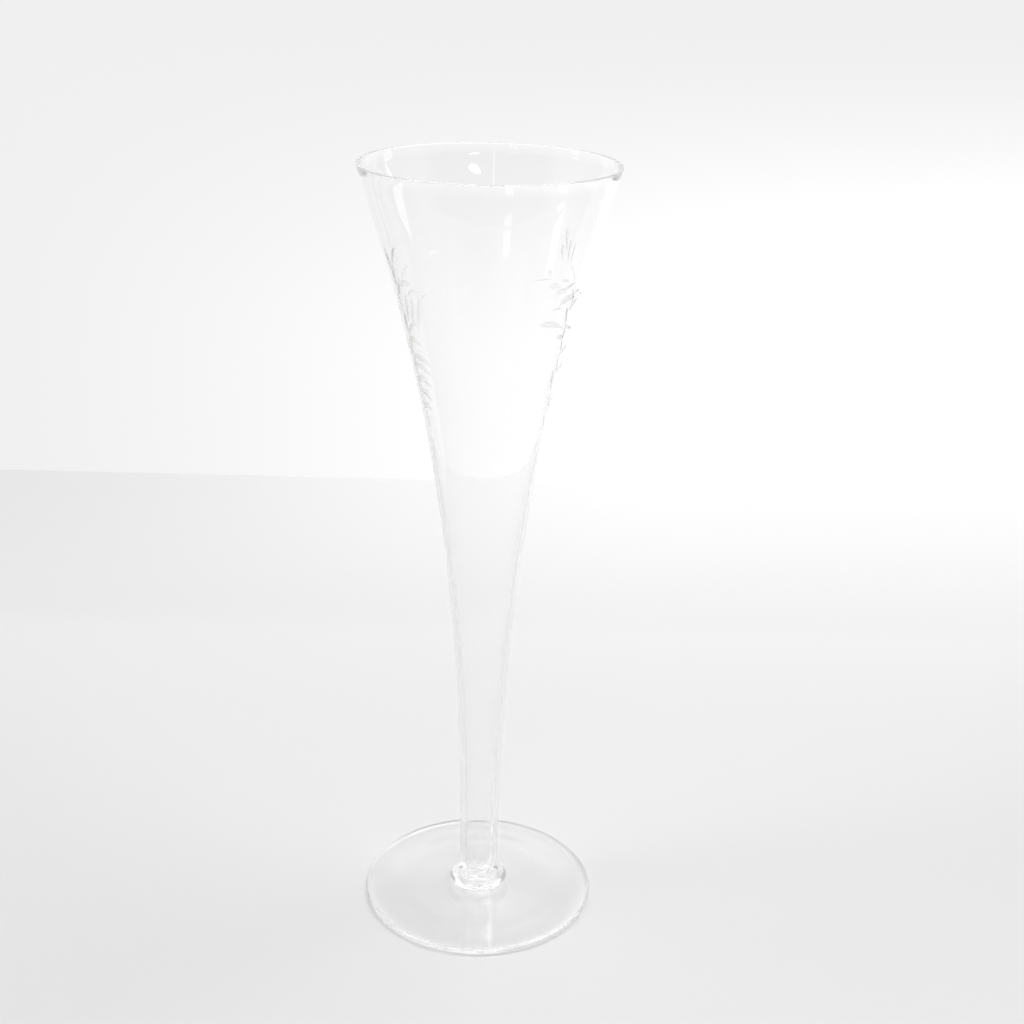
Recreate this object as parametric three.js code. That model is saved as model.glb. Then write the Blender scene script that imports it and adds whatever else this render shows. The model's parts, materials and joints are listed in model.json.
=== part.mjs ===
// A champagne flute of clear glass: a trumpet bowl drawn down into a hollow stem,
// a merese (the small flattened button under the stem) and a round foot.
// The three pieces are fused to each other on flat faces.
// Millimetres, +Z up. The origin is at the centre of the foot, on the surface that it stands on.

import * as THREE from "three";

// Overall size
const HEIGHT = 232;
const RIM_DIAMETER = 72;
const STEM_DIAMETER = 12;
const FOOT_DIAMETER = 72;

// Bowl and stem: one blown piece, thin at the rim and thick in the stem
const RIM_WALL = 1;
const STEM_WALL = 2.15;
const FLARE_POWER = 2.48;
const STEM_END_DIAMETER = 7;
const STEM_END_HEIGHT = 5.5;
const STEM_END_POWER = 1.3;
const BORE_FLOOR = 1.5;
const BORE_TIP_LENGTH = 5;

// Merese
const MERESE_DIAMETER = 18.2;
const MERESE_THICKNESS = 2.5;
const MERESE_EDGE_REACH = 2.6;

// Foot: nearly flat, with a fire-polished edge, and hollowed a little underneath
const FOOT_EDGE_THICKNESS = 2.1;
const FOOT_EDGE_RADIUS = 1;
const FOOT_EDGE_TAPER = 1.6;
const FOOT_CENTRE_THICKNESS = 3;
const FOOT_RISE_POWER = 4;
const FOOT_SEAT_MARGIN = 0.4;
const RECESS_DIAMETER = 62;
const RECESS_DEPTH = 0.5;
const RECESS_SLOPE_WIDTH = 9;

// Fineness of the turned surfaces
const SEGMENTS_AROUND = 64;
const FLARE_STEPS = 14;
const LIP_STEPS = 4;
const STEM_END_STEPS = 4;
const BORE_TIP_STEPS = 5;
const MERESE_EDGE_STEPS = 6;
const FOOT_EDGE_STEPS = 3;
const FOOT_RISE_STEPS = 5;
const RECESS_SLOPE_STEPS = 6;

const QUARTER_TURN = Math.PI / 2;

// Heights where the pieces meet
const mereseBottom = FOOT_CENTRE_THICKNESS;
const stemBottom = mereseBottom + MERESE_THICKNESS;
const boreBottom = stemBottom + BORE_FLOOR;
const boreTipTop = boreBottom + BORE_TIP_LENGTH;
const lipHeight = HEIGHT - RIM_WALL / 2;

// Radius of the merese's flat faces
const mereseSeat = MERESE_DIAMETER / 2 - MERESE_EDGE_REACH;

// Radius and height of one point of a turned outline
const point = (radius, height) => new THREE.Vector2(radius, height);

// Points of an elliptical arc, both ends included; angle 0 points outwards and a quarter turn points up
function arc({ radius, height, reach, rise, from, to, steps }) {
  return Array.from({ length: steps + 1 }, (_, i) => {
    const angle = from + ((to - from) * i) / steps;
    return point(radius + reach * Math.cos(angle), height + rise * Math.sin(angle));
  });
}

// Heights from one level to another in even steps, both ends included
const levels = (from, to, steps) => Array.from({ length: steps + 1 }, (_, i) => from + ((to - from) * i) / steps);

// How far a height is from the stem's lower end towards the rim, 0 to 1
const climb = (height) => THREE.MathUtils.clamp((height - stemBottom) / (lipHeight - stemBottom), 0, 1);

const outerRadius = (height) =>
  STEM_DIAMETER / 2 + (RIM_DIAMETER / 2 - STEM_DIAMETER / 2) * climb(height) ** FLARE_POWER;

// The wall thins quickly above the stem, and hardly at all towards the rim
const wallAt = (height) => STEM_WALL + (RIM_WALL - STEM_WALL) * Math.sin(QUARTER_TURN * climb(height));

const innerRadius = (height) => outerRadius(height) - wallAt(height);

// Turns a closed outline around the Z axis
function turned(name, outline, material) {
  const geometry = new THREE.LatheGeometry(outline, SEGMENTS_AROUND);
  geometry.rotateX(QUARTER_TURN);
  const mesh = new THREE.Mesh(geometry, material);
  mesh.name = name;
  return mesh;
}

const clearGlass = (name) =>
  new THREE.MeshStandardMaterial({
    name,
    color: 0xf1f5f4,
    roughness: 0.03,
    metalness: 0,
    transparent: true,
    opacity: 0.35,
  });

// The bowl runs from the flat end of its stem up the outside, over the lip and down the inside
function makeBowl() {
  const endRadius = STEM_END_DIAMETER / 2;
  const shoulder = stemBottom + STEM_END_HEIGHT;
  const stemEnd = levels(0, 1, STEM_END_STEPS).map((way) => {
    const widening = Math.sin(QUARTER_TURN * way) ** STEM_END_POWER;
    const radius = endRadius + (outerRadius(shoulder) - endRadius) * widening;
    return point(radius, stemBottom + STEM_END_HEIGHT * way);
  });
  const outside = levels(shoulder, lipHeight, FLARE_STEPS).map((z) => point(outerRadius(z), z));
  const lip = arc({
    radius: RIM_DIAMETER / 2 - RIM_WALL / 2,
    height: lipHeight,
    reach: RIM_WALL / 2,
    rise: RIM_WALL / 2,
    from: 0,
    to: 2 * QUARTER_TURN,
    steps: LIP_STEPS,
  });
  const inside = levels(lipHeight, boreTipTop, FLARE_STEPS).map((z) => point(innerRadius(z), z));
  const boreTip = arc({
    radius: 0,
    height: boreTipTop,
    reach: innerRadius(boreTipTop),
    rise: BORE_TIP_LENGTH,
    from: 0,
    to: -QUARTER_TURN,
    steps: BORE_TIP_STEPS,
  });
  const outline = [
    point(0, stemBottom),
    ...stemEnd.slice(0, -1),
    ...outside.slice(0, -1),
    ...lip,
    ...inside.slice(1, -1),
    ...boreTip.slice(0, -1),
    point(0, boreBottom),
  ];
  return turned("bowl", outline, clearGlass("bowl_glass"));
}

// The merese is a button with a soft, long rounded edge
function makeMerese() {
  const edge = arc({
    radius: mereseSeat,
    height: mereseBottom + MERESE_THICKNESS / 2,
    reach: MERESE_EDGE_REACH,
    rise: MERESE_THICKNESS / 2,
    from: -QUARTER_TURN,
    to: QUARTER_TURN,
    steps: MERESE_EDGE_STEPS,
  });
  return turned("merese", [point(0, mereseBottom), ...edge, point(0, stemBottom)], clearGlass("merese_glass"));
}

// The foot stands on a flat ring, and rises a little towards the seat of the merese
function makeFoot() {
  const footRadius = FOOT_DIAMETER / 2;
  const seatRadius = mereseSeat + FOOT_SEAT_MARGIN;
  const lowerEdge = arc({
    radius: footRadius - FOOT_EDGE_RADIUS,
    height: FOOT_EDGE_RADIUS,
    reach: FOOT_EDGE_RADIUS,
    rise: FOOT_EDGE_RADIUS,
    from: -QUARTER_TURN,
    to: 0,
    steps: FOOT_EDGE_STEPS,
  });
  const topEdge = footRadius - FOOT_EDGE_TAPER;
  const upperEdge = arc({
    radius: topEdge,
    height: FOOT_EDGE_RADIUS,
    reach: FOOT_EDGE_TAPER,
    rise: FOOT_EDGE_THICKNESS - FOOT_EDGE_RADIUS,
    from: 0,
    to: QUARTER_TURN,
    steps: FOOT_EDGE_STEPS,
  });
  const top = levels(topEdge, seatRadius, FOOT_RISE_STEPS).map((radius) => {
    const way = (topEdge - radius) / (topEdge - seatRadius);
    const rise = (FOOT_CENTRE_THICKNESS - FOOT_EDGE_THICKNESS) * way ** FOOT_RISE_POWER;
    return point(radius, FOOT_EDGE_THICKNESS + rise);
  });
  const recess = levels(RECESS_SLOPE_WIDTH, 0, RECESS_SLOPE_STEPS).map((reach) => {
    const height = RECESS_DEPTH * THREE.MathUtils.smoothstep(reach, 0, RECESS_SLOPE_WIDTH);
    return point(RECESS_DIAMETER / 2 - reach, height);
  });
  const outline = [
    point(0, RECESS_DEPTH),
    ...recess,
    ...lowerEdge.slice(0, -1),
    ...upperEdge,
    ...top.slice(1),
    point(0, FOOT_CENTRE_THICKNESS),
  ];
  return turned("foot", outline, clearGlass("foot_glass"));
}

const flute = new THREE.Group();
flute.name = "champagne_flute";
flute.add(makeBowl(), makeMerese(), makeFoot());

export default flute;
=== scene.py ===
"""A champagne flute of clear glass on a pale glossy table.

The glass is three pieces, fused to each other: a trumpet bowl with a hollow stem, a merese and a round foot.
Metres, +Z up, with the origin under the centre of the foot.
"""

from __future__ import annotations

import json
import logging
import math
from dataclasses import dataclass
from enum import Enum

import bpy
from mathutils import Matrix, Vector

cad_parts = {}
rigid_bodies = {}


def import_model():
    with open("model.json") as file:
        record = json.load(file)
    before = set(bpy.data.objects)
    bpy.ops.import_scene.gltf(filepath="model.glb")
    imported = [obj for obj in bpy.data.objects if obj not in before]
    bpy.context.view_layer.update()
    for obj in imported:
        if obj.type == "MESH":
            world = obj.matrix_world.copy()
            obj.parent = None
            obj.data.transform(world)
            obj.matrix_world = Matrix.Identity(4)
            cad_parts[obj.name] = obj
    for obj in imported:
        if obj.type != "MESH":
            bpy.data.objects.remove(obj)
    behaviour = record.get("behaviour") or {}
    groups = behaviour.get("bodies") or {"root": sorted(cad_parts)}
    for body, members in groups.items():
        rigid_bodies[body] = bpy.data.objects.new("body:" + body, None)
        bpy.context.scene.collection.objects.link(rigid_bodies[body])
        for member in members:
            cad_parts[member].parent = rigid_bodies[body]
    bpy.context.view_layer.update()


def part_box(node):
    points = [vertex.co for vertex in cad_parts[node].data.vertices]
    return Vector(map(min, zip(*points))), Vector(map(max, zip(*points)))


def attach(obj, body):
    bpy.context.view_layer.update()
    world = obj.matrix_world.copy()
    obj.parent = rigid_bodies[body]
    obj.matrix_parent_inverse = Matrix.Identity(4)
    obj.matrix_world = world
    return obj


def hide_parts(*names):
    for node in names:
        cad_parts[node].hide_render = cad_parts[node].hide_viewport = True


log = logging.getLogger("champagne_flute")

MM = 0.001
QUARTER_TURN = math.pi / 2
JOIN_TOLERANCE = 0.001 * MM
# Edges that bend less than this are shaded as one smooth surface
SMOOTH_BELOW = math.radians(35)
# Place of the fused joint's material among those of a piece
FUSED_SLOT = 1
# Light whose diffuse depth is below this has not met the table yet
BEFORE_TABLE = 0.5
# Sockets of the mix node that take and give colours
MIX_FIRST, MIX_SECOND, MIX_RESULT = 6, 7, 2

Profile = list[tuple[float, float]]
Colour = tuple[float, float, float, float]


def linear(hex_colour: str) -> Colour:
    """Turns an sRGB hex colour into linear light.

    Args:
        hex_colour: six hex digits after a #.

    Returns:
        Red, green, blue and an alpha of 1.
    """
    parts = [int(hex_colour[i : i + 2], 16) / 255 for i in (1, 3, 5)]
    low_end, slope, offset, power = 0.04045, 12.92, 0.055, 2.4
    values = [c / slope if c <= low_end else ((c + offset) / (1 + offset)) ** power for c in parts]
    return (*values, 1.0)


def add_node(
    tree: bpy.types.NodeTree,
    kind: str,
    settings: dict | None = None,
    inputs: dict | None = None,
    links: dict | None = None,
) -> bpy.types.Node:
    """Adds one node with its settings and links.

    Args:
        tree: the node tree that gets it.
        kind: the node's type name.
        settings: the node's own properties.
        inputs: values for its input sockets.
        links: output sockets to join to its input sockets.

    Returns:
        The new node.
    """
    node = tree.nodes.new(kind)
    for name, value in (settings or {}).items():
        setattr(node, name, value)
    for name, value in (inputs or {}).items():
        node.inputs[name].default_value = value
    for name, source in (links or {}).items():
        tree.links.new(source, node.inputs[name])
    return node


def new_material(name: str) -> tuple[bpy.types.Material, bpy.types.NodeTree, bpy.types.Node]:
    """Makes an empty node material.

    Args:
        name: the material's name.

    Returns:
        The material, its node tree and its output node.
    """
    material = bpy.data.materials.new(name)
    material.use_nodes = True
    tree = material.node_tree
    tree.nodes.clear()
    output = add_node(tree, "ShaderNodeOutputMaterial")
    return material, tree, output


def arc(
    centre: tuple[float, float],
    reach: tuple[float, float],
    turn: tuple[float, float],
    steps: int,
) -> Profile:
    """Points along an elliptical arc, both ends included.

    Args:
        centre: radius and height of the arc's centre.
        reach: half-widths of the ellipse across and up.
        turn: first and last angle, where 0 points outwards and a quarter turn points up.
        steps: number of even steps.

    Returns:
        Radius and height of each point.
    """
    angles = [turn[0] + (turn[1] - turn[0]) * i / steps for i in range(steps + 1)]
    return [(centre[0] + reach[0] * math.cos(a), centre[1] + reach[1] * math.sin(a)) for a in angles]


def levels(low: float, high: float, steps: int) -> list[float]:
    """Even steps from one value to another, both ends included."""
    return [low + (high - low) * i / steps for i in range(steps + 1)]


def direction_of(azimuth: float, elevation: float) -> Vector:
    """The way from the glass to a place around it.

    Args:
        azimuth: degrees around the Z axis, from +X.
        elevation: degrees above the table.

    Returns:
        A direction of length 1.
    """
    turn, height = math.radians(azimuth), math.radians(elevation)
    across = math.cos(height)
    return Vector((across * math.cos(turn), across * math.sin(turn), math.sin(height)))


class Finish(Enum):
    """The finishes of the glass, each with its material's name."""

    CLEAR = "fire_polished_crystal"
    FUSED = "fused_glass_joint"
    ENGRAVED = "wheel_engraved_glass"


@dataclass(frozen=True)
class FirePolishedCrystal:
    """Colourless crystal glass as the flame leaves it: a mirror-smooth skin over a clear body.

    To the eye it is an outline and a few sharp reflections, because it bends what stands behind it.
    """

    tint: str = "#FFFFFF"
    ior: float = 1.52
    roughness: float = 0.0

    def material(self) -> bpy.types.Material:
        """Makes the material."""
        material, tree, output = new_material(Finish.CLEAR.value)
        glass = add_node(
            tree,
            "ShaderNodeBsdfPrincipled",
            inputs={
                "Base Color": linear(self.tint),
                "Roughness": self.roughness,
                "IOR": self.ior,
                "Transmission Weight": 1.0,
            },
        )
        tree.links.new(glass.outputs[0], output.inputs["Surface"])
        return material


@dataclass(frozen=True)
class FusedJoint:
    """The flat face where two pieces melted into one: light crosses it without bending."""

    def material(self) -> bpy.types.Material:
        """Makes the material of a face inside solid glass."""
        material, tree, output = new_material(Finish.FUSED.value)
        through = add_node(tree, "ShaderNodeBsdfTransparent")
        tree.links.new(through.outputs[0], output.inputs["Surface"])
        return material


@dataclass(frozen=True)
class WheelEngravedGlass:
    """Glass that an engraver's wheel has ground matt, so that it scatters what shines through it."""

    tint: str = "#F2F3F1"
    ior: float = 1.52
    smoothest: float = 0.22
    roughest: float = 0.38
    grain: float = 900.0

    def material(self) -> bpy.types.Material:
        """Makes the material, with the wheel's uneven grain."""
        material, tree, output = new_material(Finish.ENGRAVED.value)
        where = add_node(tree, "ShaderNodeTexCoord")
        noise = add_node(
            tree,
            "ShaderNodeTexNoise",
            inputs={"Scale": self.grain},
            links={"Vector": where.outputs["Object"]},
        )
        roughness = add_node(
            tree,
            "ShaderNodeMapRange",
            inputs={"To Min": self.smoothest, "To Max": self.roughest},
            links={"Value": noise.outputs["Fac"]},
        )
        glass = add_node(
            tree,
            "ShaderNodeBsdfPrincipled",
            inputs={"Base Color": linear(self.tint), "IOR": self.ior, "Transmission Weight": 1.0},
            links={"Roughness": roughness.outputs[0]},
        )
        tree.links.new(glass.outputs[0], output.inputs["Surface"])
        return material


def deselect_all() -> None:
    """Leaves object mode with nothing selected."""
    if bpy.context.object and bpy.context.object.mode != "OBJECT":
        bpy.ops.object.mode_set(mode="OBJECT")
    bpy.ops.object.select_all(action="DESELECT")


def turn_on_lathe(name: str, outline: Profile, segments: int) -> bpy.types.Object:
    """Draws an outline point by point and spins it around the Z axis into a closed solid.

    Args:
        name: the new object's name.
        outline: radius and height of each point, from the axis back to the axis.
        segments: number of steps around.

    Returns:
        The solid, at the origin.
    """
    deselect_all()
    start = outline[0]
    bpy.ops.mesh.primitive_plane_add(size=MM, location=(start[0], 0, start[1]))
    solid = bpy.context.object
    solid.name = solid.data.name = name
    bpy.ops.object.transform_apply(location=True, rotation=True, scale=True)
    bpy.ops.object.mode_set(mode="EDIT")
    bpy.ops.mesh.select_all(action="SELECT")
    bpy.ops.mesh.merge(type="CENTER")
    for (r0, z0), (r1, z1) in zip(outline, outline[1:]):
        bpy.ops.mesh.extrude_region_move(TRANSFORM_OT_translate={"value": (r1 - r0, 0, z1 - z0)})
    bpy.ops.mesh.select_all(action="SELECT")
    bpy.ops.mesh.spin(steps=segments, angle=2 * math.pi, center=(0, 0, 0), axis=(0, 0, 1))
    bpy.ops.mesh.select_all(action="SELECT")
    bpy.ops.mesh.remove_doubles(threshold=JOIN_TOLERANCE)
    bpy.ops.mesh.normals_make_consistent(inside=False)
    bpy.ops.object.mode_set(mode="OBJECT")
    bpy.ops.object.shade_smooth_by_angle(angle=SMOOTH_BELOW)
    return solid


def dress(solid: bpy.types.Object, finishes: dict[Finish, bpy.types.Material], flats: list[float]) -> None:
    """Gives a piece its glass, and its fused faces the joint's material.

    Args:
        solid: the piece.
        finishes: the materials by finish.
        flats: heights of the flat faces that are fused to a neighbour.
    """
    solid.data.materials.append(finishes[Finish.CLEAR])
    solid.data.materials.append(finishes[Finish.FUSED])
    for polygon in solid.data.polygons:
        heights = [solid.data.vertices[i].co.z for i in polygon.vertices]
        for flat in flats:
            if max(abs(h - flat) for h in heights) < JOIN_TOLERANCE:
                polygon.material_index = FUSED_SLOT


def sharpen_borders(solid: bpy.types.Object, finish: Finish) -> None:
    """Keeps the edge around a finish crisp, so that the clear glass beside it stays smooth.

    Args:
        solid: the piece.
        finish: the finish whose border is kept crisp.
    """
    deselect_all()
    bpy.context.view_layer.objects.active = solid
    solid.select_set(True)
    solid.active_material_index = solid.data.materials.find(finish.value)
    bpy.ops.object.mode_set(mode="EDIT")
    bpy.ops.mesh.select_all(action="DESELECT")
    bpy.ops.object.material_slot_select()
    bpy.ops.mesh.region_to_loop()
    bpy.ops.mesh.mark_sharp()
    bpy.ops.object.mode_set(mode="OBJECT")
    bpy.ops.object.shade_smooth_by_angle(angle=SMOOTH_BELOW)


@dataclass
class GlassPiece:
    """What the three turned pieces share."""

    name: str
    slot: str
    segments: int

    def keep(self, solid: bpy.types.Object) -> None:
        """Lets the piece stand for its CAD node and ride with the glass."""
        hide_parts(self.name)
        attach(solid, "root")
        log.info("%s: %d faces", solid.name, len(solid.data.polygons))


@dataclass(frozen=True)
class Cut:
    """One stroke of the engraver's wheel, pointed at both ends.

    It runs through three places on the bowl, each an angle around it in degrees and a height in millimetres.
    The width and the depth are those at its middle, in millimetres.
    """

    start: tuple[float, float]
    middle: tuple[float, float]
    end: tuple[float, float]
    width: float
    depth: float = 0.2

    def at(self, way: float) -> tuple[float, float]:
        """Angle and height at a share of the way along the stroke, 0 to 1."""
        first, second, third = (1 - way) * (1 - 2 * way), 4 * way * (1 - way), way * (2 * way - 1)
        places = zip(self.start, self.middle, self.end)
        angle, height = (first * a + second * b + third * c for a, b, c in places)
        return angle, height


RIGHT_SPRAY = (
    # Bud at the top of the far side
    Cut((40.9, 210.9), (37.5, 208.4), (33, 202.5), 2.0, 0.2),
    Cut((40.8, 206.6), (39.2, 204.6), (36, 201.8), 1.6, 0.3),
    Cut((34.5, 208.3), (32.5, 205.5), (31, 201.5), 2.2, 0.2),
    Cut((29, 208), (27.6, 205.5), (29, 201.5), 2.2, 0.22),
    # Blades and leaves towards the camera
    Cut((-66, 205.7), (-59.5, 206), (-52.5, 205.8), 0.5, 0.2),
    Cut((-56, 208.6), (-55, 207.6), (-54, 206.4), 1.1),
    Cut((-46.5, 204.7), (-42, 204.6), (-37, 203.8), 0.7, 0.12),
    Cut((-42.5, 201.7), (-37, 202.4), (-30.5, 203.2), 1.0, 0.3),
    Cut((-54, 203.2), (-49.5, 203.5), (-45.5, 202.8), 2.0, 0.1),
    Cut((-47.5, 201), (-43.5, 201.6), (-38, 201), 2.0, 0.1),
    Cut((-32, 201.5), (-29.5, 199.2), (-27, 196.3), 1.2, 0.22),
    Cut((-28.5, 199.2), (-24.5, 200.2), (-20, 199.6), 0.9),
    Cut((-20, 197.6), (-16.5, 198.4), (-13, 198.2), 0.9),
    Cut((-42.5, 197), (-36, 198.9), (-26, 198.4), 2.0, 0.2),
    Cut((-31, 195), (-26, 196.4), (-19, 198), 1.8, 0.22),
    Cut((-48.5, 196.2), (-43, 196.6), (-37, 196.5), 0.5, 0.15),
    Cut((-55.5, 192.1), (-46, 192.4), (-31, 190), 1.7, 0.22),
    Cut((-30, 191), (-21, 189.2), (-12, 188.2), 1.1, 0.15),
    Cut((-38.5, 187.6), (-32.5, 187.6), (-26, 186.4), 1.5, 0.22),
    # Stem, in short overlapping strokes
    Cut((-33, 196.8), (-31.5, 194), (-28.5, 190.8), 1.1, 0.25),
    Cut((-28.5, 191.5), (-27.5, 188.5), (-27.5, 185), 0.7),
    Cut((-28, 186.5), (-25.5, 184), (-24, 181), 0.9),
    Cut((-26, 181.5), (-24, 178.5), (-21, 175), 0.9),
    Cut((-29, 178), (-28, 174.8), (-25, 171), 1.2, 0.25),
    Cut((-26, 170), (-24.5, 168), (-21, 165.5), 0.9),
    Cut((-27, 164), (-24, 161.5), (-21, 159.5), 0.8),
    # Leaves that turn away on the far side
    Cut((-24, 181), (-14, 183), (-3, 183.5), 1.3),
    Cut((-21, 175), (-12, 177.5), (-2, 177.5), 1.3),
    Cut((-21, 165.5), (-13, 168), (-5, 168), 1.1),
    Cut((-12, 188), (-1, 191), (8, 196), 1.2),
    Cut((8, 196), (18, 199.5), (30, 201.8), 0.8),
)
LEFT_SPRAY = (
    # Fork at the top
    Cut((18.5, 210.4), (21, 207), (25, 203), 1.8, 0.22),
    Cut((37.5, 212), (31.5, 209.6), (25, 204), 1.8, 0.22),
    # Stem, in short overlapping strokes
    Cut((27, 205.5), (24.5, 202.5), (25.5, 199), 2.2, 0.22),
    Cut((31, 203.5), (29, 200.5), (25, 197.5), 2.2, 0.2),
    Cut((24.5, 199.5), (23, 196.2), (26.5, 192.5), 1.2, 0.25),
    Cut((27.5, 193.5), (25, 190.5), (24.5, 186.5), 2.0, 0.22),
    Cut((26, 187), (23.5, 183.5), (22.5, 180), 1.3, 0.25),
    Cut((24.5, 181), (23.5, 178), (21, 174.5), 1.3, 0.25),
    Cut((23, 175.5), (22, 172), (23, 168), 1.1, 0.22),
    Cut((25, 169), (23.5, 165), (24.5, 161), 1.0),
    Cut((26, 162), (24.5, 158), (25.5, 154), 0.9),
    # Flower and leaves towards the camera
    Cut((30, 200), (36, 202.2), (44, 202.4), 1.8, 0.14),
    Cut((37, 198.6), (43, 200.4), (50, 200.2), 1.7, 0.14),
    Cut((47, 199.5), (45.5, 195), (39.5, 188.5), 2.2, 0.14),
    Cut((40.5, 199), (39, 195), (34, 188.5), 1.9, 0.14),
    Cut((35, 199.5), (33, 195.5), (30, 190.5), 1.8, 0.14),
    Cut((42, 190.5), (34.5, 190), (25, 186.5), 1.8, 0.15),
    Cut((23, 182.6), (31, 185.8), (40, 184.3), 1.9, 0.15),
    Cut((23, 179.2), (35, 181), (47.5, 178.8), 1.9, 0.15),
    Cut((25, 178.2), (34, 178.2), (46, 176.4), 1.8, 0.15),
    Cut((23, 171.8), (33, 174.6), (43.5, 172.2), 2.2, 0.15),
    Cut((25, 169.6), (33, 170.6), (41, 168.2), 2.0, 0.15),
    Cut((24, 164.2), (31.5, 166.6), (39.5, 165), 1.7, 0.15),
    # Blades and leaves on the far side
    Cut((-42, 202), (-49.5, 202.5), (-57, 202.2), 0.6, 0.2),
    Cut((-53, 191.7), (-56, 192), (-59, 191.8), 0.7),
    Cut((-33, 190), (-37, 191.2), (-42, 191.4), 0.6, 0.12),
    Cut((-8, 196), (-18, 199.5), (-30, 200.5), 0.8, 0.15),
    Cut((24.5, 192), (12, 193.5), (-8, 196), 0.8, 0.15),
    Cut((23, 180), (13, 183), (2, 183.5), 1.3),
    Cut((22.5, 172), (13, 175), (3, 175.5), 1.3),
)


@dataclass(frozen=True)
class Spray:
    """A wheel-cut spray of a bud, leaves and a stem on the outside of the bowl."""

    azimuth: float
    cuts: tuple[Cut, ...]
    cover: float = 0.4 * MM
    tip_power: float = 0.9
    ball_segments: int = 16
    ball_rings: int = 14

    def on_skin(self, bowl: Bowl, cut: Cut, spot: Vector) -> Vector:
        """Carries a spot of a unit ball to its place in a stroke's groove.

        Args:
            bowl: the bowl that is engraved.
            cut: the stroke.
            spot: x goes across the stroke, y out of the glass and z along the stroke.

        Returns:
            The place on the bowl, below its skin where y is negative.
        """
        way = (spot.z + 1) / 2
        step = 0.01
        here, ahead, behind = (
            bowl.skin(math.radians(self.azimuth + angle), height * MM)
            for angle, height in (cut.at(way), cut.at(way + step), cut.at(way - step))
        )
        outwards = here[1]
        across = outwards.cross(ahead[0] - behind[0]).normalized()
        taper = max(1 - spot.z**2, 0) ** (self.tip_power / 2)
        reach = spot.x * taper * cut.width / 2 * MM
        rise = self.cover * spot.y if spot.y > 0 else -cut.depth * MM * spot.y**2
        return here[0] + across * reach + outwards * rise * taper

    def groove(self, bowl: Bowl, cut: Cut, cutters: bpy.types.Collection) -> None:
        """Lays a ball, drawn out into a spindle, along a stroke.

        Args:
            bowl: the bowl that is engraved.
            cut: the stroke.
            cutters: the collection that gets the spindle.
        """
        deselect_all()
        bpy.ops.mesh.primitive_uv_sphere_add(
            segments=self.ball_segments, ring_count=self.ball_rings, radius=1
        )
        spindle = bpy.context.object
        for collection in spindle.users_collection:
            collection.objects.unlink(spindle)
        cutters.objects.link(spindle)
        for vertex in spindle.data.vertices:
            vertex.co = self.on_skin(bowl, cut, vertex.co)


def engrave(
    bowl: Bowl,
    solid: bpy.types.Object,
    sprays: tuple[Spray, ...],
    finish: bpy.types.Material,
) -> None:
    """Cuts sprays into the bowl and gives the cuts their matt finish.

    Args:
        bowl: the bowl's sizes.
        solid: the bowl's glass.
        sprays: what is cut.
        finish: the matt material of the cuts.
    """
    cutters = bpy.data.collections.new("engraving")
    bpy.context.scene.collection.children.link(cutters)
    for spray in sprays:
        for cut in spray.cuts:
            spray.groove(bowl, cut, cutters)
    for spindle in cutters.objects:
        spindle.data.materials.append(finish)
    deselect_all()
    bpy.context.view_layer.objects.active = solid
    solid.select_set(True)
    engraving = solid.modifiers.new("engraving", "BOOLEAN")
    engraving.operation = "DIFFERENCE"
    engraving.operand_type = "COLLECTION"
    engraving.collection = cutters
    engraving.solver = "EXACT"
    engraving.material_mode = "TRANSFER"
    bpy.ops.object.modifier_apply(modifier=engraving.name)
    for spindle in list(cutters.objects):
        bpy.data.objects.remove(spindle)
    bpy.data.collections.remove(cutters)


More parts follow.
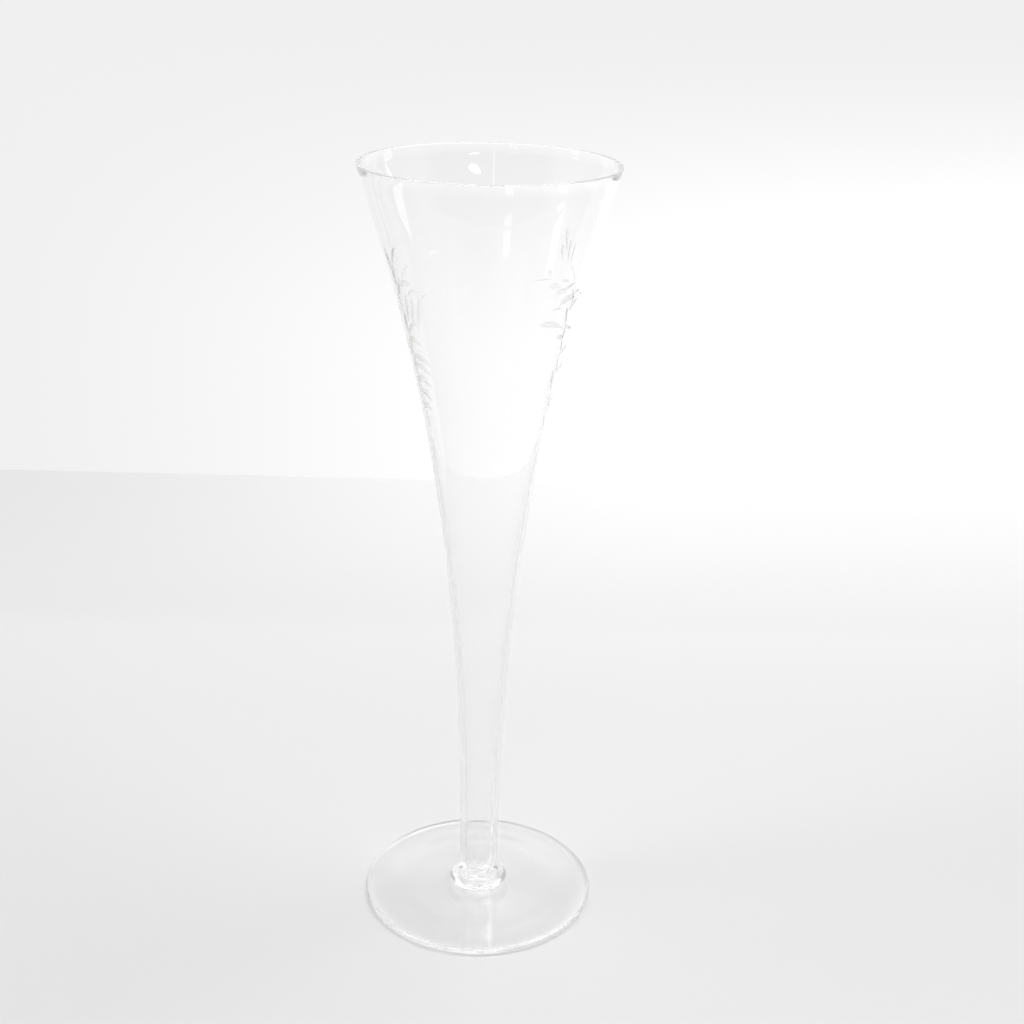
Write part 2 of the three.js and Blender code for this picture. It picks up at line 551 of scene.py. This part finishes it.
@dataclass
class Bowl(GlassPiece):
    """The trumpet bowl and the hollow stem, blown and drawn in one piece."""

    rim_wall: float = 1 * MM
    stem_wall: float = 2.15 * MM
    stem_radius: float = 6 * MM
    end_radius: float = 3.5 * MM
    end_height: float = 5.5 * MM
    end_power: float = 1.3
    bore_floor: float = 1.5 * MM
    bore_tip: float = 5 * MM
    flare_power: float = 2.48
    stem_end_steps: int = 14
    flare_steps: int = 72
    lip_steps: int = 12
    tip_steps: int = 16

    def __post_init__(self) -> None:
        """Takes the heights and the rim from the frame."""
        low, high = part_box(self.name)
        self.bottom = low.z
        self.top = high.z
        self.rim_radius = high.x
        self.lip = self.top - self.rim_wall / 2

    def climb(self, z: float) -> float:
        """How far a height is from the stem's end towards the rim, 0 to 1."""
        return min(max((z - self.bottom) / (self.lip - self.bottom), 0), 1)

    def outer(self, z: float) -> float:
        """Outer radius at a height."""
        return self.stem_radius + (self.rim_radius - self.stem_radius) * self.climb(z) ** self.flare_power

    def inner(self, z: float) -> float:
        """Inner radius at a height."""
        wall = self.stem_wall + (self.rim_wall - self.stem_wall) * math.sin(QUARTER_TURN * self.climb(z))
        return self.outer(z) - wall

    def skin(self, angle: float, z: float) -> tuple[Vector, Vector]:
        """A place on the outside of the bowl, and the direction straight out of the glass there."""
        step = 0.1 * MM
        slope = (self.outer(z + step) - self.outer(z - step)) / (2 * step)
        around = Vector((math.cos(angle), math.sin(angle), 0))
        return around * self.outer(z) + Vector((0, 0, z)), (around - Vector((0, 0, slope))).normalized()

    def outline(self) -> Profile:
        """The half section, from the stem's flat end up the outside, over the lip and down the bore."""
        shoulder = self.bottom + self.end_height
        bore_start = self.bottom + self.bore_floor + self.bore_tip
        stem_end = []
        for way in levels(0, 1, self.stem_end_steps):
            reach = (self.outer(shoulder) - self.end_radius) * math.sin(QUARTER_TURN * way) ** self.end_power
            stem_end.append((self.end_radius + reach, self.bottom + self.end_height * way))
        outside = [(self.outer(z), z) for z in levels(shoulder, self.lip, self.flare_steps)]
        half = self.rim_wall / 2
        lip = arc((self.rim_radius - half, self.lip), (half, half), (0, math.pi), self.lip_steps)
        inside = [(self.inner(z), z) for z in levels(self.lip, bore_start, self.flare_steps)]
        tip_reach = self.inner(bore_start), self.bore_tip
        tip = arc((0, bore_start), tip_reach, (0, -QUARTER_TURN), self.tip_steps)
        ends = (0, self.bottom), (0, self.bottom + self.bore_floor)
        return [ends[0], *stem_end[:-1], *outside[:-1], *lip, *inside[1:-1], *tip[:-1], ends[1]]

    def build(self, finishes: dict[Finish, bpy.types.Material]) -> None:
        """Turns the bowl, dresses it and engraves its two sides."""
        solid = turn_on_lathe("bowl_glass", self.outline(), self.segments)
        dress(solid, finishes, [self.bottom])
        sprays = Spray(0, RIGHT_SPRAY), Spray(180, LEFT_SPRAY)
        engrave(self, solid, sprays, finishes[Finish.ENGRAVED])
        sharpen_borders(solid, Finish.ENGRAVED)
        self.keep(solid)


@dataclass
class Merese(GlassPiece):
    """The flattened button under the stem."""

    edge_reach: float = 2.6 * MM
    edge_steps: int = 28

    def build(self, finishes: dict[Finish, bpy.types.Material]) -> None:
        """Turns the merese and dresses it."""
        low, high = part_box(self.name)
        half = (high.z - low.z) / 2
        seat = high.x - self.edge_reach
        half_turn = -QUARTER_TURN, QUARTER_TURN
        edge = arc((seat, low.z + half), (self.edge_reach, half), half_turn, self.edge_steps)
        outline = [(0, low.z), *edge, (0, high.z)]
        solid = turn_on_lathe("merese_glass", outline, self.segments)
        dress(solid, finishes, [low.z, high.z])
        self.keep(solid)


@dataclass
class Foot(GlassPiece):
    """The round foot, with a fire-polished edge and a shallow recess underneath."""

    thickness: float = 2.1 * MM
    edge_radius: float = 1.0 * MM
    edge_taper: float = 1.6 * MM
    rise_power: float = 4
    seat_margin: float = 0.4 * MM
    recess_radius: float = 31 * MM
    recess_depth: float = 0.5 * MM
    recess_slope: float = 9 * MM
    under_steps: int = 10
    taper_steps: int = 28
    top_steps: int = 40
    recess_steps: int = 24

    def build(self, finishes: dict[Finish, bpy.types.Material]) -> None:
        """Turns the foot and dresses it."""
        low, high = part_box(self.name)
        merese_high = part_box("merese")[1]
        joint = merese_high.x - Merese.edge_reach
        seat = joint + self.seat_margin
        rim = high.x - self.edge_taper
        rounding = self.edge_radius
        under = arc((high.x - rounding, rounding), (rounding, rounding), (-QUARTER_TURN, 0), self.under_steps)
        taper_reach = self.edge_taper, self.thickness - rounding
        taper = arc((rim, rounding), taper_reach, (0, QUARTER_TURN), self.taper_steps)
        edge = [*under[:-1], *taper]
        top = []
        for r in levels(rim, seat, self.top_steps):
            way = (rim - r) / (rim - seat)
            top.append((r, self.thickness + (high.z - self.thickness) * way**self.rise_power))
        recess = []
        for way in levels(1, 0, self.recess_steps):
            rise = self.recess_depth * way**2 * (3 - 2 * way)
            recess.append((self.recess_radius - self.recess_slope * way, rise))
        outline = [(0, self.recess_depth), *recess, *edge, *top[1:], (joint, high.z), (0, high.z)]
        solid = turn_on_lathe("foot_glass", outline, self.segments)
        dress(solid, finishes, [])
        for polygon in solid.data.polygons:
            points = [solid.data.vertices[i].co for i in polygon.vertices]
            is_top = min(p.z for p in points) > high.z - JOIN_TOLERANCE
            is_under_merese = max(p.xy.length for p in points) < joint + JOIN_TOLERANCE
            if is_top and is_under_merese:
                polygon.material_index = FUSED_SLOT
        self.keep(solid)


def ease(
    tree: bpy.types.NodeTree,
    value: bpy.types.NodeSocket,
    source: tuple[float, float],
    result: tuple[float, float],
) -> bpy.types.NodeSocket:
    """Fades smoothly from one level to another while a value crosses a range.

    Args:
        tree: the node tree.
        value: the value that is followed.
        source: where on it the fade starts and ends.
        result: the levels before and after.

    Returns:
        The level.
    """
    node = add_node(
        tree,
        "ShaderNodeMapRange",
        {"interpolation_type": "SMOOTHSTEP"},
        {"From Min": source[0], "From Max": source[1], "To Min": result[0], "To Max": result[1]},
        {"Value": value},
    )
    return node.outputs[0]


def combine(
    tree: bpy.types.NodeTree,
    operation: str,
    first: bpy.types.NodeSocket,
    second: bpy.types.NodeSocket,
) -> bpy.types.NodeSocket:
    """Joins two values with a math node.

    Args:
        tree: the node tree.
        operation: the node's operation.
        first: the first value.
        second: the second value.

    Returns:
        The result.
    """
    node = add_node(tree, "ShaderNodeMath", {"operation": operation}, links={0: first, 1: second})
    return node.outputs[0]


def blend(
    tree: bpy.types.NodeTree,
    share: bpy.types.NodeSocket,
    first: bpy.types.NodeSocket | Colour,
    second: bpy.types.NodeSocket | Colour,
) -> bpy.types.NodeSocket:
    """Mixes two colours, each given as a colour or as a socket.

    Args:
        tree: the node tree.
        share: how much of the second colour there is, 0 to 1.
        first: the colour where the share is 0.
        second: the colour where the share is 1.

    Returns:
        The mixed colour.
    """
    mix = add_node(tree, "ShaderNodeMix", {"data_type": "RGBA"}, links={0: share})
    for slot, colour in ((MIX_FIRST, first), (MIX_SECOND, second)):
        if isinstance(colour, tuple):
            mix.inputs[slot].default_value = colour
        else:
            tree.links.new(colour, mix.inputs[slot])
    return mix.outputs[MIX_RESULT]


@dataclass(frozen=True)
class SkyGlow:
    """A soft round patch of light on the walls or the ceiling of the room."""

    name: str
    azimuth: float
    elevation: float
    spread: float
    level: float

    def add(self, tree: bpy.types.NodeTree, direction: bpy.types.NodeSocket) -> bpy.types.NodeSocket:
        """Adds the patch to the room's nodes.

        Args:
            tree: the room's node tree.
            direction: where a ray of light comes from.

        Returns:
            The patch's light.
        """
        aim = direction_of(self.azimuth, self.elevation)
        along = add_node(tree, "ShaderNodeVectorMath", {"operation": "DOT_PRODUCT"}, {1: aim}, {0: direction})
        along.label = self.name
        rim = math.cos(math.radians(self.spread))
        core = math.cos(math.radians(self.spread / 2))
        return ease(tree, along.outputs["Value"], (rim, core), (0.0, self.level))


@dataclass(frozen=True)
class Lamp:
    """A lit panel that faces the glass, placed by its direction from the bowl."""

    name: str
    azimuth: float
    elevation: float
    width: float
    height: float
    strength: float
    lights_table: bool = False
    is_round: bool = False
    distance: float = 1.2
    aim: float = 200 * MM

    def build(self) -> None:
        """Adds the panel; one that doesn't light the table shows only as a reflection."""
        deselect_all()
        offset = direction_of(self.azimuth, self.elevation) * self.distance
        turn = offset.to_track_quat("Z", "Y").to_euler()
        place = offset + Vector((0, 0, self.aim))
        if self.is_round:
            bpy.ops.mesh.primitive_circle_add(radius=0.5, fill_type="NGON", location=place, rotation=turn)
        else:
            bpy.ops.mesh.primitive_plane_add(size=1, location=place, rotation=turn)
        panel = bpy.context.object
        panel.name = self.name
        panel.scale = (self.width, self.height, 1)
        material, tree, output = new_material(self.name)
        glow = add_node(
            tree,
            "ShaderNodeEmission",
            inputs={"Color": linear("#FFFFFF"), "Strength": self.strength},
        )
        if not self.lights_table:
            path = add_node(tree, "ShaderNodeLightPath")
            seen = add_node(
                tree,
                "ShaderNodeMath",
                {"operation": "LESS_THAN"},
                {1: BEFORE_TABLE},
                {0: path.outputs["Diffuse Depth"]},
            )
            level = add_node(
                tree,
                "ShaderNodeMath",
                {"operation": "MULTIPLY"},
                {1: self.strength},
                {0: seen.outputs[0]},
            )
            tree.links.new(level.outputs[0], glow.inputs["Strength"])
            material.cycles.emission_sampling = "NONE"
        tree.links.new(glow.outputs[0], output.inputs["Surface"])
        panel.data.materials.append(material)


@dataclass
class Studio:
    """The pale table, the white backdrop, the lights and the camera."""

    table_back: float = 369 * MM
    table_width: float = 4.0
    table_depth: float = 3.0
    air_gap: float = 0.05 * MM
    wall_distance: float = 1.1
    wall_middle_height: float = -0.225
    wall_width: float = 4.5
    wall_height: float = 1.35
    wall_light: tuple[float, float] = (0.872, 1.2)
    room_light: float = 0.56
    far_light: float = 1.1
    camera_side_share: float = 0.3
    bounces: int = 1024
    brightest_bounce: float = 2.4
    camera_place: tuple[float, float, float] = (8.13 * MM, -412.2 * MM, 297.35 * MM)
    camera_pitch: float = math.radians(21.98)
    camera_roll: float = math.radians(1.384)
    lens: float = 53.33
    sensor_width: float = 36
    near_limit: float = 0.01

    def table(self) -> None:
        """Adds the table top, whose back edge shows through the glass.

        Its lacquer's colour carries painted light, palest at the back right, and painted shade, a little
        darker at the left and the front.
        """
        deselect_all()
        middle = self.table_back - self.table_depth / 2
        bpy.ops.mesh.primitive_plane_add(size=1, location=(0, middle, -self.air_gap))
        top = bpy.context.object
        top.name = "table"
        top.scale = (self.table_width, self.table_depth, 1)
        bpy.ops.object.transform_apply(location=True, rotation=True, scale=True)
        material, tree, output = new_material("white_table_lacquer_with_painted_light")
        where = add_node(tree, "ShaderNodeTexCoord")
        place = add_node(tree, "ShaderNodeSeparateXYZ", links={0: where.outputs["Object"]})
        sideways = ease(tree, place.outputs["X"], (-0.3, 0.1), (0.0, 1.0))
        backwards = ease(tree, place.outputs["Y"], (0.1, 0.4), (0.0, 1.0))
        # Painted light and shade: the table's colour is palest at the back right and darker at the left and
        # the front
        front = blend(tree, sideways, linear("#E3E3E3"), linear("#E9E9E9"))
        back = blend(tree, sideways, linear("#E0E0E0"), linear("#FFFFFF"))
        painted_light_and_shade = blend(tree, backwards, front, back)
        coat = add_node(
            tree,
            "ShaderNodeBsdfPrincipled",
            inputs={"Roughness": 0.04, "IOR": 1.45},
            links={"Base Color": painted_light_and_shade},
        )
        tree.links.new(coat.outputs[0], output.inputs["Surface"])
        top.data.materials.append(material)

    def backdrop(self) -> None:
        """Adds the glowing wall behind the table, with painted light that is brightest at the lower right."""
        deselect_all()
        middle = (0, self.wall_distance, self.wall_middle_height)
        bpy.ops.mesh.primitive_plane_add(size=1, location=middle, rotation=(QUARTER_TURN, 0, 0))
        wall = bpy.context.object
        wall.name = "backdrop"
        wall.scale = (self.wall_width, self.wall_height, 1)
        bpy.ops.object.transform_apply(location=True, rotation=True, scale=True)
        material, tree, output = new_material("white_backdrop")
        where = add_node(tree, "ShaderNodeTexCoord")
        place = add_node(tree, "ShaderNodeSeparateXYZ", links={0: where.outputs["Object"]})
        # Painted light: the wall's glow is brightest at the lower right
        sideways = ease(tree, place.outputs["X"], (-0.62, 0.6), (0.0, 1.0))
        down = ease(tree, place.outputs["Z"], (0.2, -0.16), (0.0, 1.0))
        lit = combine(tree, "MULTIPLY", sideways, down)
        level = add_node(
            tree,
            "ShaderNodeMapRange",
            inputs={"To Min": self.wall_light[0], "To Max": self.wall_light[1]},
            links={"Value": lit},
        )
        glow = add_node(
            tree,
            "ShaderNodeEmission",
            inputs={"Color": linear("#FFFFFF")},
            links={"Strength": level.outputs[0]},
        )
        tree.links.new(glow.outputs[0], output.inputs["Surface"])
        wall.data.materials.append(material)

    def sky(self) -> None:
        """Lights the pale room: dim behind the camera, brighter up high and behind the glass."""
        world = bpy.data.worlds.new("room")
        bpy.context.scene.world = world
        world.use_nodes = True
        tree = world.node_tree
        tree.nodes.clear()
        where = add_node(tree, "ShaderNodeTexCoord")
        direction = where.outputs["Generated"]
        toward = add_node(tree, "ShaderNodeSeparateXYZ", links={0: direction})
        near = ease(tree, toward.outputs["Y"], (-0.2, -0.6), (0.0, 1.0))
        low = ease(tree, toward.outputs["Z"], (0.66, 0.52), (0.0, 1.0))
        raised = ease(tree, toward.outputs["Z"], (0.05, 0.45), (0.0, 1.0))
        behind = combine(tree, "MULTIPLY", combine(tree, "MULTIPLY", near, low), raised)
        dimming = ease(tree, behind, (0.0, 1.0), (1.0, self.camera_side_share))
        far = ease(tree, toward.outputs["Y"], (0.76, 0.86), (self.room_light, self.far_light))
        light = combine(tree, "MULTIPLY", far, dimming)
        for glow in (
            SkyGlow("left_ceiling", 180, 59, 20, 1.7),
            SkyGlow("front_ceiling", -70, 60, 22, 1.0),
            SkyGlow("right_wall", 10, 52, 24, 1.85),
            SkyGlow("right_ceiling", 45, 60, 24, 1.55),
        ):
            light = combine(tree, "ADD", light, glow.add(tree, direction))
        room = add_node(
            tree,
            "ShaderNodeBackground",
            inputs={"Color": linear("#FFFFFF")},
            links={"Strength": light},
        )
        output = add_node(tree, "ShaderNodeOutputWorld")
        tree.links.new(room.outputs[0], output.inputs["Surface"])

    def lamps(self) -> None:
        """Adds the lit panels whose reflections draw the streaks in the glass.

        The left window is the only one of them that lights the table too.
        """
        for lamp in (
            Lamp("left_window", 190, 38, 0.3, 0.2, 6.0, lights_table=True),
            Lamp("right_softbox", 21, 11.0, 0.28, 0.1, 1.7),
            Lamp("left_softbox", 185.5, 11.8, 0.2, 0.12, 2.0),
            Lamp("front_lamp", -73, 27.2, 0.22, 0.02, 25.0, is_round=True),
            Lamp("rim_panel", -72, 62, 0.45, 0.12, 25.0),
            Lamp("left_rim_panel", -116, 62, 0.3, 0.12, 25.0),
            Lamp("front_gap", -92.6, 33, 0.035, 0.38, 1.2),
            Lamp("front_softbox", -111, 19.5, 0.17, 0.1, 1.2),
        ):
            lamp.build()

    def light_paths(self) -> None:
        """Lets light bounce until it leaves the thin glass, and keeps what it draws on the table sharp.

        A limit on the brightest bounced light takes the sparkle of small lamps out of the thin rim.
        """
        cycles = bpy.context.scene.cycles
        cycles.max_bounces = self.bounces
        cycles.transmission_bounces = self.bounces
        cycles.glossy_bounces = self.bounces
        cycles.blur_glossy = 0.0
        cycles.sample_clamp_indirect = self.brightest_bounce

    def camera(self) -> None:
        """Places the camera where the photograph was taken from."""
        data = bpy.data.cameras.new("camera")
        data.lens = self.lens
        data.sensor_width = self.sensor_width
        data.clip_start = self.near_limit
        camera = bpy.data.objects.new("camera", data)
        bpy.context.collection.objects.link(camera)
        pitch = Matrix.Rotation(QUARTER_TURN - self.camera_pitch, 3, "X")
        roll = Matrix.Rotation(self.camera_roll, 3, "Z")
        camera.rotation_euler = (pitch @ roll).to_euler()
        camera.location = Vector(self.camera_place)
        bpy.context.scene.camera = camera


def main() -> None:
    """Builds the glass and its surroundings."""
    logging.basicConfig(level=logging.INFO)
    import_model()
    finishes = {
        Finish.CLEAR: FirePolishedCrystal().material(),
        Finish.FUSED: FusedJoint().material(),
        Finish.ENGRAVED: WheelEngravedGlass().material(),
    }
    Bowl("bowl", "bowl_glass", 192).build(finishes)
    Merese("merese", "merese_glass", 128).build(finishes)
    Foot("foot", "foot_glass", 192).build(finishes)
    studio = Studio()
    studio.table()
    studio.backdrop()
    studio.sky()
    studio.lamps()
    studio.light_paths()
    studio.camera()
    bpy.context.scene.view_settings.view_transform = "Standard"


if __name__ == "__main__":
    main()
